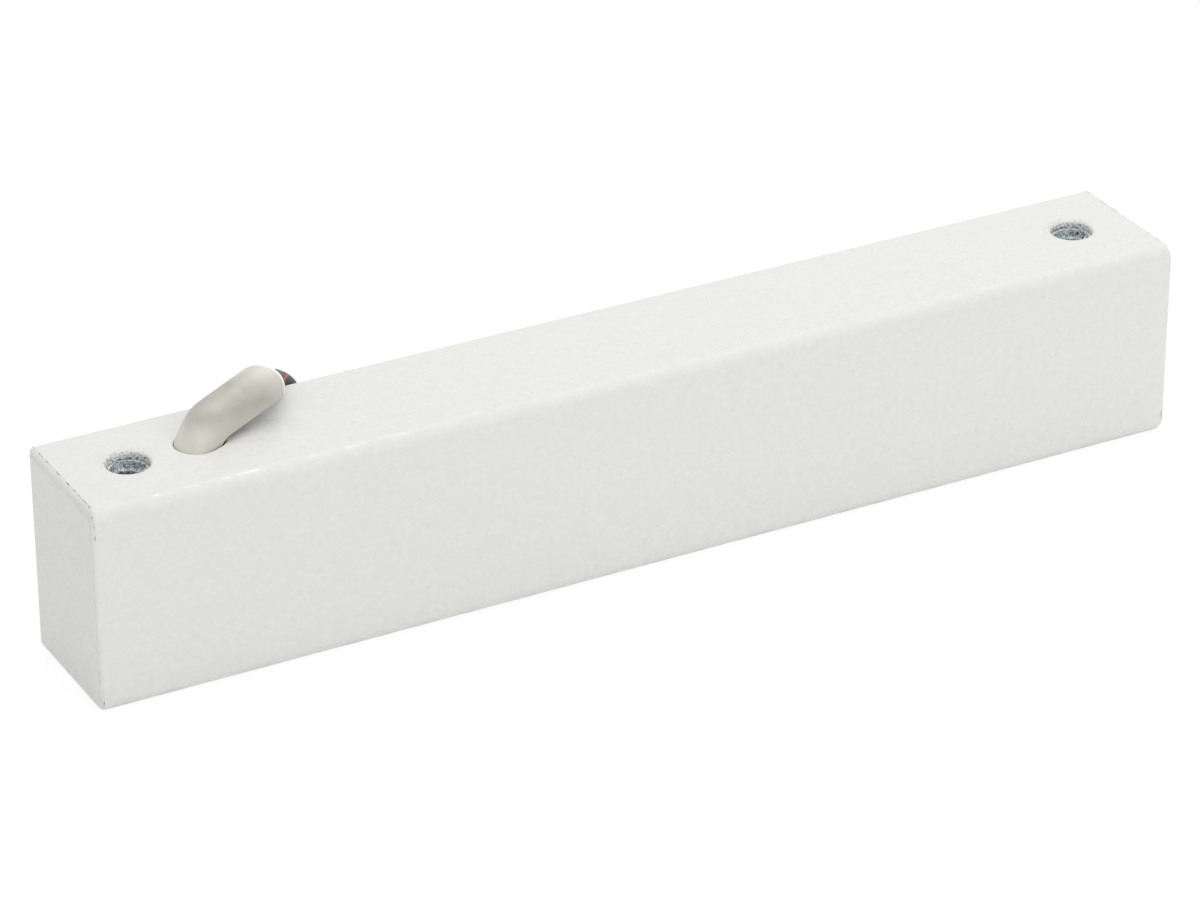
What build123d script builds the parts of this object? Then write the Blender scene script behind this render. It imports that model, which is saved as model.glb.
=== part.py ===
from build123d import *
import math
import os

# Magnet body of a surface electromagnetic lock, in millimetres.
# X runs along the lock, -Y is its front, +Y its working face, +Z is up.
# The origin is under its middle, on the surface that it lies on.

# Case: a bent steel channel, open at the back, with a plate over each end
case_length = 200.0  # over both end plates
case_height = 36.0
case_depth = 25.5  # front face to the free edges of the flanges
sheet = 2.0
bend_inside = 0.8  # inside radius of the two bends
edge_break = 0.4  # rounding of the flanges' free edges
plate_thickness = 1.0
end_round = 1.5  # rounding round both ends, ground across the joint of the plate

# Fixing holes, with an M6 weld nut under each
fixing_from_end = 12.0
fixing_from_front = 13.2
fixing_hole = 7.2
thread_bore = 5.0
thread_lead_in = 0.45  # chamfer at both ends of the thread
nut_across_flats = 11.0
nut_height = 5.0
nut_collar = 0.75  # the collar that centres the nut in its hole
nut_fit = 0.1
bolt_clear = 6.6  # well in the resin under a nut
bolt_room = 6.0

# Magnet core: E-shaped sheets stacked along X, poles at the back
core_from_left = 38.0  # more room on the cable's side
core_from_right = 22.0
core_gap = 0.3  # film of resin between the core and the case
pole_proud = 0.3  # the poles stand past the flanges' free edges
yoke = 6.5
outer_pole = 5.4
coil_slot = 5.4  # between the middle pole and an outer one
rod_diameter = 4.0
rod_fit = 0.1
rod_from_middle = 10.5
rod_head = 5.8
rod_head_height = 1.6
rod_head_edge = 0.9

# Coil on the middle pole
former_fit = 0.15
former_wall = 0.6
former_flange = 0.8
former_length = 13.5
former_lip = 0.3  # the flanges stand past the tape
tape = 0.3

# Cable hood: a bent arch of sheet that comes up through a slot in the top flange
hood_from_left = 23.5
hood_from_front = 13.75
hood_heading = 22.4  # degrees from +X towards the back
hood_rise = 8.2  # degrees above the top face, at the mouth
hood_bend = 5.6  # radius of its centreline
hood_corner_height = 1.9  # where its two straight centrelines cross, above the top face
hood_reach = 16.2  # from that crossing to the middle of the mouth
hood_skew = 25.0  # degrees that the mouth's cut turns to the back
hood_half_width = 3.65
hood_leg = 1.65  # straight sides below the arch
hood_wall = 0.5
hood_gap = 0.15
hood_root = 7.0  # below the top face
hood_corner = 0.9  # rounding of the two lower corners of the mouth

# Cable and wires inside
cable_diameter = 3.2
sheath_end = 12.0  # the sheath stops this far below the top face
core_wire = 1.3
core_split = 0.1  # between the two cores where they leave the sheath
core_part = 3.2  # each core's distance from the middle, once parted
core_bend = 0.5  # how far back from its corners a wire's bend starts
lead_wire = 1.0
lead_bend = 1.4
lead_dip = 3.5  # the leads' loop below the sleeves
lead_from_middle = 3.4  # the leads join the winding this far below its middle
sleeve_diameter = 3.0
sleeve_length = 9.0
sleeve_top = 16.5  # below the top face
diode_body = 2.5
diode_length = 3.8
diode_wire = 0.7
diode_bend = 1.0
diode_from_sleeves = 5.0
tie_width = 2.6
tie_band = 0.8
tie_head = 4.0
tie_head_depth = 3.2
tie_gap = 0.5  # between the hood's root and the tie

# Resin, poured in from the back
resin_recess = 0.3  # below the flanges' free edges

# Cable outside: its route from the hood down to the surface, and its put-away hank
cable_exit = 4.4  # straight out of the mouth
cable_route = [
    (-54.5, 12.3, 39.2),
    (-52.2, 16.9, 35.3),
    (-50.2, 19.0, 27.5),
    (-47.2, 20.0, 18.5),
    (-42.6, 21.0, 10.5),
    (-35.6, 21.8, 5.0),
    (-26.9, 21.9, 2.4),
    (-18.6, 22.4, 2.4),
]
hank_x = 16.0
hank_y = 28.5
hank_run = 56.0
hank_fold = 9.6  # radius of the turns' centreline at the folds
hank_layers = 2
band_thickness = 0.6
band_width = 2.4
band_head = 3.6
band_head_height = 2.6
end_stub = 7.0  # sheathed end inside the hank
end_turn = 20.0  # degrees that the end leaves its run by
end_dip = 8.5  # degrees that it falls to the surface
end_past_middle = 4.0
tail_route = [(0.0, 0.0), (3.0, 0.0), (8.0, 1.6), (14.0, 2.0)]  # along the end, and out
tail_bend = 5.0
tip_wire = 0.9
tip_length = 6.0

# Worked out from the sizes above
front_y = -(case_depth + pole_proud) / 2
back_y = front_y + case_depth
pole_y = back_y + pole_proud
web_y = front_y + sheet
fixing_y = front_y + fixing_from_front
roof_z = case_height - sheet
mid_z = case_height / 2
left_x = -case_length / 2
channel_length = case_length - 2 * plate_thickness
fixing_x = case_length / 2 - fixing_from_end
fixing_xs = (-fixing_x, fixing_x)

core_x = left_x + core_from_left
core_length = case_length - core_from_left - core_from_right
core_back = web_y + core_gap
coil_y = core_back + yoke
core_height = case_height - 2 * (sheet + core_gap)
middle_pole = core_height - 2 * (outer_pole + coil_slot)
winding_inner = former_fit + former_wall
flange_outer = coil_slot - former_fit
tape_outer = flange_outer - former_lip
winding_outer = tape_outer - tape

hood_x = left_x + hood_from_left
hood_y = front_y + hood_from_front
heading = Vector(1, 0, 0).rotate(Axis.Z, hood_heading)
hood_turn = 90 - hood_rise
bend_depth = hood_bend * math.tan(math.radians(hood_turn / 2)) - hood_corner_height
hood_plane = Plane(
    origin=(hood_x, hood_y, case_height),
    x_dir=heading,
    z_dir=heading.cross(Vector(0, 0, 1)),
)
mouth_along = hood_reach * math.cos(math.radians(hood_rise))
mouth_up = hood_corner_height + hood_reach * math.sin(math.radians(hood_rise))
mouth = hood_plane.from_local_coords(Vector(mouth_along, mouth_up, 0))
mouth_out = (mouth - hood_plane.from_local_coords(Vector(0, hood_corner_height, 0))).normalized()

hank_height = hank_layers * cable_diameter
sleeve_z = case_height - sleeve_top
sheath_z = case_height - sheath_end


def bar(sketch, x_start, length):
    return extrude(Plane.YZ.offset(x_start) * sketch, amount=length)


def rod(x_start, length, y, z, radius):
    return extrude(Plane.YZ.offset(x_start) * Pos(y, z) * Circle(radius), amount=length)


def wire_along(path, diameter):
    return sweep(Plane(origin=path @ 0, z_dir=path % 0) * Circle(diameter / 2), path)


def bent_wire(points, cut, diameter):
    # Each bend of a hidden wire is two half turns with mitred joints
    points = [Vector(*point) for point in points]
    route = [points[0]]
    for before, corner, after in zip(points, points[1:], points[2:]):
        route += [corner + (end - corner).normalized() * cut for end in (before, after)]
    path = Polyline(*route, points[-1])
    section = Plane(origin=path @ 0, z_dir=path % 0) * Circle(diameter / 2)
    return sweep(section, path, transition=Transition.RIGHT)


def box_between(low, high):
    return Pos(*low) * Box(*[b - a for a, b in zip(low, high)], align=(Align.MIN,) * 3)


def case_outline():
    outline = Pos((front_y + back_y) / 2, mid_z) * Rectangle(case_depth, case_height)
    outline = fillet(outline.vertices().group_by(Axis.X)[0], bend_inside + sheet)
    return fillet(outline.vertices().group_by(Axis.X)[-1], edge_break)


def cavity_outline(open_y):
    depth = open_y - web_y
    outline = Pos(web_y + depth / 2, mid_z) * Rectangle(depth, case_height - 2 * sheet)
    return fillet(outline.vertices().group_by(Axis.X)[0], bend_inside)


def hood_slot():
    # The slot clears the arch's crown at the flange's underside and its legs at the top face
    half = hood_half_width + hood_gap
    sunk = max(bend_depth - sheet, 0)
    nose = hood_bend - math.sqrt((hood_bend + hood_half_width) ** 2 - sunk**2)
    heel = hood_bend - math.sqrt(max((hood_bend - hood_leg) ** 2 - bend_depth**2, 0))
    start = nose + hood_half_width
    end = heel + hood_gap - math.sqrt(half**2 - hood_half_width**2)
    flange = Plane(origin=(hood_x, hood_y, roof_z), x_dir=heading, z_dir=(0, 0, 1))
    slot = Pos((start + end) / 2, 0) * SlotCenterToCenter(end - start, 2 * half)
    return extrude(flange * slot, amount=2 * sheet, both=True)


def case_body():
    # The closed outer form that the channel and its two plates are ground to
    body = bar(case_outline(), left_x, case_length)
    ends = body.faces().sort_by(Axis.X)
    return fillet(ends[0].edges() + ends[-1].edges(), end_round)


def make_channel():
    section = case_outline() - cavity_outline(back_y + sheet)
    channel = bar(section, -channel_length / 2, channel_length) & case_body()
    for x in fixing_xs:
        channel -= Pos(x, fixing_y, roof_z) * Cylinder(fixing_hole / 2, 4 * sheet)
    return channel - hood_slot()


def make_end_plate(side):
    start = left_x if side < 0 else -left_x - plate_thickness
    return bar(case_outline(), start, plate_thickness) & case_body()


def make_weld_nut(x):
    seat = Plane(origin=(x, fixing_y, roof_z))
    hexagon = RegularPolygon(nut_across_flats / 2, 6, major_radius=False)
    nut = extrude(seat * hexagon, amount=-nut_height)
    nut += extrude(seat * Circle(fixing_hole / 2 - nut_fit), amount=nut_collar)
    nut -= Pos(x, fixing_y, roof_z) * Cylinder(thread_bore / 2, 4 * nut_height)
    mouths = nut.edges().filter_by(GeomType.CIRCLE).filter_by(
        lambda e: abs(e.radius - thread_bore / 2) < nut_fit / 2
    )
    return chamfer(mouths, thread_lead_in)


def rod_places():
    return [(core_back + yoke / 2, mid_z + side * rod_from_middle) for side in (-1, 1)]


def make_core():
    width = pole_y - core_back
    section = Pos(core_back + width / 2, mid_z) * Rectangle(width, core_height)
    for side in (-1, 1):
        slot_z = mid_z + side * (middle_pole + coil_slot) / 2
        section -= Pos(coil_y + width / 2, slot_z) * Rectangle(width, coil_slot)
    core = bar(section, core_x, core_length)
    for y, z in rod_places():
        core -= rod(core_x, core_length, y, z, rod_diameter / 2 + rod_fit)
    return core


def make_tie_rods():
    rods = []
    for y, z in rod_places():
        shaft = rod(core_x, core_length, y, z, rod_diameter / 2)
        for start, end in ((core_x - rod_head_height, 0), (core_x + core_length, -1)):
            head = rod(start, rod_head_height, y, z, rod_head / 2)
            rim = head.faces().sort_by(Axis.X)[end].edges()
            shaft += chamfer(rim, min(rod_head_edge, 0.8 * rod_head_height))
        rods.append(shaft)
    return Compound(rods)


def pole_ring(inner, outer, y_start, length):
    # A closed ring round the middle pole, its two outlines offset from the pole
    plane = Plane(
        origin=(core_x + core_length / 2, y_start, mid_z),
        x_dir=(1, 0, 0),
        z_dir=(0, -1, 0),
    )
    outlines = [
        RectangleRounded(core_length + 2 * off, middle_pole + 2 * off, off)
        for off in (outer, inner)
    ]
    return extrude(plane * (outlines[0] - outlines[1]), amount=-length)


def make_former():
    far_flange = coil_y + former_length - former_flange
    return (
        pole_ring(former_fit, winding_inner, coil_y, former_length)
        + pole_ring(former_fit, flange_outer, coil_y, former_flange)
        + pole_ring(former_fit, flange_outer, far_flange, former_flange)
    )


def winding_ring(inner, outer):
    length = former_length - 2 * former_flange
    return pole_ring(inner, outer, coil_y + former_flange, length)


def hood_path(extra=0.0):
    length = hood_reach + extra
    rise = math.radians(hood_rise)
    points = [
        (0, -hood_root),
        (0, hood_corner_height),
        (length * math.cos(rise), hood_corner_height + length * math.sin(rise)),
    ]
    return hood_plane * FilletPolyline(*points, radius=hood_bend)


def arch(half_width, leg):
    arc = ThreePointArc((half_width, 0), (0, half_width), (-half_width, 0))
    sides = Polyline((-half_width, 0), (-half_width, -leg), (half_width, -leg), (half_width, 0))
    return make_face(arc + sides)


def make_hood():
    path = hood_path(extra=hood_half_width)
    section = arch(hood_half_width, hood_leg)
    section -= arch(hood_half_width - hood_wall, 2 * hood_leg)
    root = Plane(origin=path @ 0, x_dir=Vector(0, 0, 1).cross(heading), z_dir=path % 0)
    hood = sweep(root * section, path)
    cut = Plane(origin=mouth, z_dir=heading.rotate(Axis.Z, hood_skew))
    hood = split(hood, bisect_by=cut, keep=Keep.BOTTOM)
    rim = hood.faces().sort_by_distance(mouth)[0]
    corners = rim.edges().filter_by(GeomType.LINE).sort_by(SortBy.LENGTH)[:2]
    return fillet(corners, min(hood_corner, 0.6 * hood_leg))


def make_cable_inner():
    rise = math.radians(hood_rise)
    points = [
        (0, -sheath_end),
        (0, hood_corner_height),
        (hood_reach * math.cos(rise), mouth_up),
    ]
    return wire_along(hood_plane * FilletPolyline(*points, radius=hood_bend), cable_diameter)


def make_cable_cores():
    cores = []
    for side in (-1, 1):
        start_y = hood_y + side * (core_wire + core_split) / 2
        end_y = hood_y + side * core_part
        drop = sheath_z - sleeve_z
        points = [
            (hood_x, start_y, sheath_z),
            (hood_x, start_y, sheath_z - drop / 3),
            (hood_x, end_y, sleeve_z + drop / 4),
            (hood_x, end_y, sleeve_z - sleeve_length / 2),
        ]
        cores.append(bent_wire(points, core_bend, core_wire))
    return cores


def make_coil_leads():
    face_x = core_x - winding_outer
    low_z = sleeve_z - sleeve_length - lead_dip
    join_z = mid_z - lead_from_middle
    half_x = (hood_x + face_x) / 2
    leads = []
    for side in (-1, 1):
        y = hood_y + side * core_part
        points = [
            (hood_x, y, sleeve_z - sleeve_length / 2),
            (hood_x, y, low_z),
            (half_x, y, low_z),
            (half_x, y, join_z),
            (face_x, y, join_z),
        ]
        leads.append(bent_wire(points, lead_bend, lead_wire))
    return leads


def make_diode():
    z = sleeve_z - sleeve_length / 2
    start_x = hood_x - core_wire / 2
    far_x = hood_x - diode_from_sleeves
    near_y, far_y = hood_y - core_part, hood_y + core_part
    points = [(start_x, near_y, z), (far_x, near_y, z), (far_x, far_y, z), (start_x, far_y, z)]
    wire = bent_wire(points, diode_bend, diode_wire)
    body = Pos(far_x, hood_y, z) * Rot(90, 0, 0) * Cylinder(diode_body / 2, diode_length)
    return body + wire


def make_sleeves(inside):
    sleeves = []
    for side in (-1, 1):
        top = Pos(hood_x, hood_y + side * core_part, sleeve_z)
        sleeve = top * Cylinder(
            sleeve_diameter / 2, sleeve_length, align=(Align.CENTER, Align.CENTER, Align.MAX)
        )
        for piece in inside:
            sleeve -= piece
        sleeves.append(sleeve)
    return Compound(sleeves)


def make_strain_tie():
    top_z = case_height - hood_root - tie_gap
    place = Plane(origin=(hood_x, hood_y, top_z))
    outer = cable_diameter / 2 + tie_band
    tie = extrude(place * Circle(outer), amount=-tie_width)
    head = Pos(-outer - tie_head_depth / 2 + tie_band, 0) * Rectangle(tie_head_depth, tie_head)
    tie += extrude(place * head, amount=-tie_width)
    return tie - extrude(place * Circle(cable_diameter / 2), amount=-tie_width)


def make_resin(embedded):
    resin = bar(cavity_outline(back_y - resin_recess), -channel_length / 2, channel_length)
    resin -= pole_ring(former_fit, flange_outer, coil_y, former_length)
    resin -= bar(
        Pos((coil_y + core_back) / 2, mid_z) * Rectangle(yoke, core_height), core_x, core_length
    )
    for piece in embedded:
        resin -= piece
    for x in fixing_xs:
        well = Plane(origin=(x, fixing_y, roof_z))
        resin -= extrude(well * Circle(bolt_clear / 2), amount=-nut_height - bolt_room)
    return resin


def make_supply_cable():
    points = [mouth, mouth + mouth_out * cable_exit, *[Vector(*p) for p in cable_route]]
    runs = [b - a for a, b in zip(points, points[1:])]
    radii = []
    for first, second in zip(runs, runs[1:]):
        half_turn = math.radians(first.get_angle(second) / 2)
        radii.append(0.45 * min(first.length, second.length) / math.tan(half_turn))
    print("cable radii", [round(r, 1) for r in radii])
    path = FilletPolyline(*points, radius=radii)
    cable = wire_along(path, cable_diameter)
    section = math.pi * cable_diameter**2 / 4
    share = cable.volume / (section * path.length)
    print("cable length", round(path.length, 1), "volume over section times length", round(share, 4))
    return cable


def hank_ring(half_width, z_start, height):
    plane = Plane(origin=(hank_x, hank_y, z_start))
    outlines = [
        SlotCenterToCenter(hank_run, 2 * (hank_fold + side * half_width)) for side in (1, -1)
    ]
    return extrude(plane * (outlines[0] - outlines[1]), amount=height)


def make_hank(entering):
    ring = hank_ring(cable_diameter / 2, band_thickness, hank_height)
    for piece in entering:
        ring -= piece
    return ring


def make_hank_bands():
    bands = []
    half = cable_diameter / 2 + band_thickness
    for side in (-1, 1):
        y = hank_y + side * hank_fold
        low = (hank_x - band_width / 2, y - half, 0)
        high = (hank_x + band_width / 2, y + half, hank_height + 2 * band_thickness)
        head_low = (hank_x - band_head / 2, y - band_head / 2, high[2])
        head_high = (hank_x + band_head / 2, y + band_head / 2, high[2] + band_head_height)
        band = box_between(low, high) + box_between(head_low, head_high)
        bands.append(band - hank_ring(cable_diameter / 2, band_thickness, hank_height))
    return Compound(bands)


def end_plane():
    # The cable's end turns off the upper back run, into the open middle of the hank
    flat = Vector(-1, 0, 0).rotate(Axis.Z, end_turn)
    side = Vector(0, 0, 1).cross(flat)
    along = flat - Vector(0, 0, math.tan(math.radians(end_dip)))
    top_layer = band_thickness + hank_height - cable_diameter / 2
    start = (hank_x - end_past_middle, hank_y + hank_fold, top_layer)
    return Plane(origin=start, x_dir=along, z_dir=along.cross(side))


def make_cable_end():
    place = end_plane()
    turned = Plane(origin=place.origin, z_dir=place.x_dir)
    return extrude(turned * Circle(cable_diameter / 2), amount=cable_diameter + end_stub)


def tail_paths():
    place = end_plane()
    start = cable_diameter + end_stub
    paths = []
    for side in (-1, 1):
        points = [(start + along, side * (core_wire / 2 + out)) for along, out in tail_route]
        paths.append(place * FilletPolyline(*points, radius=tail_bend))
    return paths


def make_tails():
    return Compound([wire_along(path, core_wire) for path in tail_paths()])


def make_tips():
    tips = []
    for path in tail_paths():
        tip = Plane(origin=path @ 1, z_dir=path % 1) * Circle(tip_wire / 2)
        tips.append(extrude(tip, amount=tip_length))
    return Compound(tips)


def main():
    channel = make_channel()
    hood = make_hood()
    nuts = [make_weld_nut(x) for x in fixing_xs]
    core = make_core()
    rods = make_tie_rods()
    former = make_former()
    winding = winding_ring(winding_inner, winding_outer)
    inner = make_cable_inner()
    cores = make_cable_cores()
    leads = make_coil_leads()
    diode = make_diode()
    wires = [*cores, *leads, diode]
    sleeves = make_sleeves(wires)
    wrap = winding_ring(winding_outer, tape_outer)
    for lead in leads:
        wrap -= lead
    strain_tie = make_strain_tie()
    embedded = [*nuts, core, rods, *wires, sleeves, strain_tie, inner, hood]
    cable = make_supply_cable()
    end = make_cable_end()
    parts = {
        "case_channel": channel,
        "end_plate_left": make_end_plate(-1),
        "end_plate_right": make_end_plate(1),
        "weld_nut_left": nuts[0],
        "weld_nut_right": nuts[1],
        "magnet_core": core,
        "core_tie_rods": rods,
        "coil_former": former,
        "coil_winding": winding,
        "winding_tape": wrap,
        "coil_leads": Compound(leads),
        "lead_sleeves": sleeves,
        "cable_cores": Compound(cores),
        "suppressor_diode": diode,
        "strain_tie": strain_tie,
        "potting_resin": make_resin(embedded),
        "cable_hood": hood,
        "cable_inner": inner,
        "supply_cable": cable,
        "cable_hank": make_hank([cable, end]),
        "hank_bands": make_hank_bands(),
        "cable_end": end,
        "cable_tails": make_tails(),
        "tinned_tips": make_tips(),
    }
    os.makedirs("parts", exist_ok=True)
    for name, shape in parts.items():
        export_step(shape, f"parts/{name}.step")


main()
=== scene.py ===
import math
import bmesh
import bpy
from mathutils import Matrix, Vector


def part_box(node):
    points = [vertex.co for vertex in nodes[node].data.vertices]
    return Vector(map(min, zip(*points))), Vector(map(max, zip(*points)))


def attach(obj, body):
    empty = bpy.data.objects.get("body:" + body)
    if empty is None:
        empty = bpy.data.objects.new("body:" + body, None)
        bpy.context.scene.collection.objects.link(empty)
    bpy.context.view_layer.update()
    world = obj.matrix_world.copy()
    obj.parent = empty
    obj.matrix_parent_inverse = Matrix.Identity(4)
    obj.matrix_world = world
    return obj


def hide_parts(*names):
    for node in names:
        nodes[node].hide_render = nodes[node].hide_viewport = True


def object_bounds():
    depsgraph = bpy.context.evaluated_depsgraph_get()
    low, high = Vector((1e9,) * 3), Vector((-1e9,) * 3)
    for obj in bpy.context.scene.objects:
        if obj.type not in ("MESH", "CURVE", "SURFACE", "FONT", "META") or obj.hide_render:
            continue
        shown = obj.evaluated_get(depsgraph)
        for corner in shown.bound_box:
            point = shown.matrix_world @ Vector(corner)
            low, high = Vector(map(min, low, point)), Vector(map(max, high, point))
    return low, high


# Magnet body of an electromagnetic lock: white folded case, nickel cable hood, potted magnet at the back.
# X runs along the lock, -Y is its front, +Y its working face, and +Z is up.
# Sizes in the settings are in millimetres where nothing else is said.
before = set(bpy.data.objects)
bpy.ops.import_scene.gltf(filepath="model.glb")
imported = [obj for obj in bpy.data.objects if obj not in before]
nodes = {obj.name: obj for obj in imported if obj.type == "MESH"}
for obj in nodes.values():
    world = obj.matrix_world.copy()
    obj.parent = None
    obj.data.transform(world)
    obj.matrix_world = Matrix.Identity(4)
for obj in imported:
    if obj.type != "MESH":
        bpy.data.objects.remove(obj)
cadLow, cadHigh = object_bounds()
mm = 0.001
touching = 1e-6  # metres; points nearer than this are one
facing = 0.9  # a normal with this much along an axis faces that way


def hexToLinear(hexColour):
    channels = [int(hexColour[i:i + 2], 16) / 255 for i in (1, 3, 5)]
    linear = [c / 12.92 if c <= 0.04045 else ((c + 0.055) / 1.055) ** 2.4 for c in channels]
    return (*linear, 1.0)


def addNode(tree, kind, inputs=None, **settings):
    # An input is a fixed value, a socket to link, or a node whose first output is linked
    node = tree.nodes.new("ShaderNode" + kind)
    for name, value in settings.items():
        setattr(node, name, value)
    for name, value in (inputs or {}).items():
        if isinstance(value, bpy.types.Node):
            value = value.outputs[0]
        if isinstance(value, bpy.types.NodeSocket):
            tree.links.new(value, node.inputs[name])
        else:
            node.inputs[name].default_value = value
    return node


def startMaterial(name):
    material = bpy.data.materials.new(name)
    material.use_nodes = True
    tree = material.node_tree
    place = addNode(tree, "TexCoord").outputs["Object"]
    return material, tree, tree.nodes["Principled BSDF"], place


# Camera and light

cameraSettings = {
    "eye": (-359.436, -658.577, 415.098),
    "azimuth": -28.3553,  # this and the next two in degrees
    "elevation": 28.0131,
    "roll": -0.132,
    "lens": 153.75,
    "sensor": 36.0,
    "clipStart": 10.0,
}


def makeCamera(s):
    azimuth, elevation = math.radians(s["azimuth"]), math.radians(s["elevation"])
    level = math.cos(elevation)
    back = Vector((math.sin(azimuth) * level, -math.cos(azimuth) * level, math.sin(elevation)))
    right = Vector((math.cos(azimuth), math.sin(azimuth), 0))
    up = back.cross(right)
    roll = math.radians(s["roll"])
    tiltedRight = right * math.cos(roll) + up * math.sin(roll)
    tiltedUp = back.cross(tiltedRight)
    bpy.ops.object.camera_add()
    camera = bpy.context.object
    turn = Matrix((tiltedRight, tiltedUp, back)).transposed().to_4x4()
    camera.matrix_world = Matrix.Translation(Vector(s["eye"]) * mm) @ turn
    camera.data.lens = s["lens"]
    camera.data.sensor_width = s["sensor"]
    camera.data.clip_start = s["clipStart"] * mm
    bpy.context.scene.camera = camera
    print("camera at", [round(v, 3) for v in camera.location])


studioSettings = {
    "world": 0.55,
    "lamps": [
        # name, place in metres, size in metres, watts
        ("backSoftbox", (0.10, 0.40, 0.85), 1.0, 3.0),
        ("topMirror", (0.45, 0.0, 0.90), 0.8, 1.2),
        ("frontSoftbox", (0.30, -1.0, 0.55), 0.9, 3.7),
        ("leftMirror", (-0.45, -0.45, 0.70), 0.45, 0.3),
        ("glintLamp", (0.26, 0.30, 0.92), 0.08, 0.5),
    ],
    "mirrored": ("topMirror", "leftMirror", "glintLamp"),  # the others stay out of reflections
    "aim": (0, 0, 0.02),  # metres
    "paper": "#f6f6f5",
    "floorWidth": 6.0,  # metres
    "floorDrop": 0.05,
    "floorShadow": 0.15,  # share of the floor's own shading that the camera sees
    "floorWhite": 1.06,
}


def seenDirectly(tree):
    # 1 for what the camera sees, straight or by way of a mirror or glass
    rays = addNode(tree, "LightPath").outputs
    mirrored = addNode(tree, "Math", {
        0: rays["Is Camera Ray"], 1: rays["Is Glossy Ray"],
    }, operation="MAXIMUM")
    seen = addNode(tree, "Math", {0: mirrored, 1: rays["Is Transmission Ray"]}, operation="MAXIMUM")
    return seen.outputs[0]


def makeStudio(s):
    world = bpy.data.worlds.new("whiteStudio")
    bpy.context.scene.world = world
    world.use_nodes = True
    tree = world.node_tree
    tree.nodes.clear()
    light = addNode(tree, "Background", {"Color": (1, 1, 1, 1), "Strength": s["world"]})
    white = addNode(tree, "Background", {"Color": (1, 1, 1, 1), "Strength": 1.0})
    mix = addNode(tree, "MixShader", {0: seenDirectly(tree), 1: light, 2: white})
    addNode(tree, "OutputWorld", {"Surface": mix})

    for name, place, size, watts in s["lamps"]:
        bpy.ops.object.light_add(type="AREA", location=place)
        lamp = bpy.context.object
        lamp.name = name
        lamp.data.energy = watts
        lamp.data.size = size
        lamp.visible_glossy = name in s["mirrored"]
        lamp.rotation_euler = (Vector(s["aim"]) - Vector(place)).to_track_quat("-Z", "Y").to_euler()

    bpy.ops.mesh.primitive_plane_add(size=s["floorWidth"], location=(0, 0, -s["floorDrop"] * mm))
    floor = bpy.context.object
    floor.name = "floor"
    material = bpy.data.materials.new("whitePaperFloor")
    material.use_nodes = True
    tree = material.node_tree
    tree.nodes.clear()
    share = addNode(tree, "Math", {
        0: seenDirectly(tree), 1: 1 - s["floorShadow"],
    }, operation="MULTIPLY")
    paper = addNode(tree, "BsdfDiffuse", {"Color": hexToLinear(s["paper"])})
    white = addNode(tree, "Emission", {"Color": (1, 1, 1, 1), "Strength": s["floorWhite"]})
    mix = addNode(tree, "MixShader", {0: share, 1: paper, 2: white})
    addNode(tree, "OutputMaterial", {"Surface": mix})
    floor.data.materials.append(material)
    bpy.context.scene.view_settings.view_transform = "Standard"
    print("studio with", len(s["lamps"]), "lamps")


# Small helpers for modelling

def deselectAll():
    if bpy.context.object and bpy.context.object.mode != "OBJECT":
        bpy.ops.object.mode_set(mode="OBJECT")
    bpy.ops.object.select_all(action="DESELECT")


def pickActive(piece):
    deselectAll()
    piece.select_set(True)
    bpy.context.view_layer.objects.active = piece


def applyPlace(piece):
    pickActive(piece)
    bpy.ops.object.transform_apply(location=True, rotation=True, scale=True)


def addBox(name, low, high):
    deselectAll()
    low, high = Vector(low), Vector(high)
    bpy.ops.mesh.primitive_cube_add(size=1, location=(low + high) / 2, scale=high - low)
    piece = bpy.context.object
    piece.name = name
    applyPlace(piece)
    return piece


def addCylinder(name, place, radius, depth, vertices=64, turn=0.0):
    deselectAll()
    bpy.ops.mesh.primitive_cylinder_add(
        vertices=vertices, radius=radius, depth=depth, location=place, rotation=(0, 0, turn)
    )
    piece = bpy.context.object
    piece.name = name
    applyPlace(piece)
    return piece


def selectWhere(piece, kind, test):
    pickActive(piece)
    bpy.ops.object.mode_set(mode="EDIT")
    bpy.ops.mesh.select_mode(type=kind)
    bpy.ops.mesh.select_all(action="DESELECT")
    mesh = bmesh.from_edit_mesh(piece.data)
    for element in {"VERT": mesh.verts, "EDGE": mesh.edges, "FACE": mesh.faces}[kind]:
        if test(element):
            element.select_set(True)
    mesh.select_flush_mode()
    bmesh.update_edit_mesh(piece.data)


def bevelEdges(piece, test, width, segments):
    selectWhere(piece, "EDGE", test)
    bpy.ops.mesh.bevel(
        offset=width * mm, offset_type="OFFSET", segments=segments, affect="EDGES", clamp_overlap=True
    )
    bpy.ops.object.mode_set(mode="OBJECT")


def deleteFaces(piece, test, kind="FACE"):
    selectWhere(piece, "FACE", test)
    bpy.ops.mesh.delete(type=kind)
    bpy.ops.object.mode_set(mode="OBJECT")


def applyModifier(piece, kind, **settings):
    pickActive(piece)
    modifier = piece.modifiers.new(kind.lower(), kind)
    for name, value in settings.items():
        setattr(modifier, name, value)
    bpy.ops.object.modifier_apply(modifier=modifier.name)


def combine(piece, tool, operation):
    applyModifier(piece, "BOOLEAN", operation=operation, solver="EXACT", object=tool)
    bpy.data.objects.remove(tool)


def cleanMesh(piece, outward=True):
    selectWhere(piece, "VERT", lambda v: True)
    bpy.ops.mesh.remove_doubles(threshold=touching)
    if outward:
        bpy.ops.mesh.normals_make_consistent(inside=False)
    bpy.ops.object.mode_set(mode="OBJECT")


def joinPieces(piece, *others):
    pickActive(piece)
    for other in others:
        other.select_set(True)
    bpy.ops.object.join()


def smoothByAngle(piece, degrees=35):
    pickActive(piece)
    bpy.ops.object.shade_smooth_by_angle(angle=math.radians(degrees))


def near(a, b, tolerance=1e-5):
    return abs(a - b) < tolerance


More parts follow.
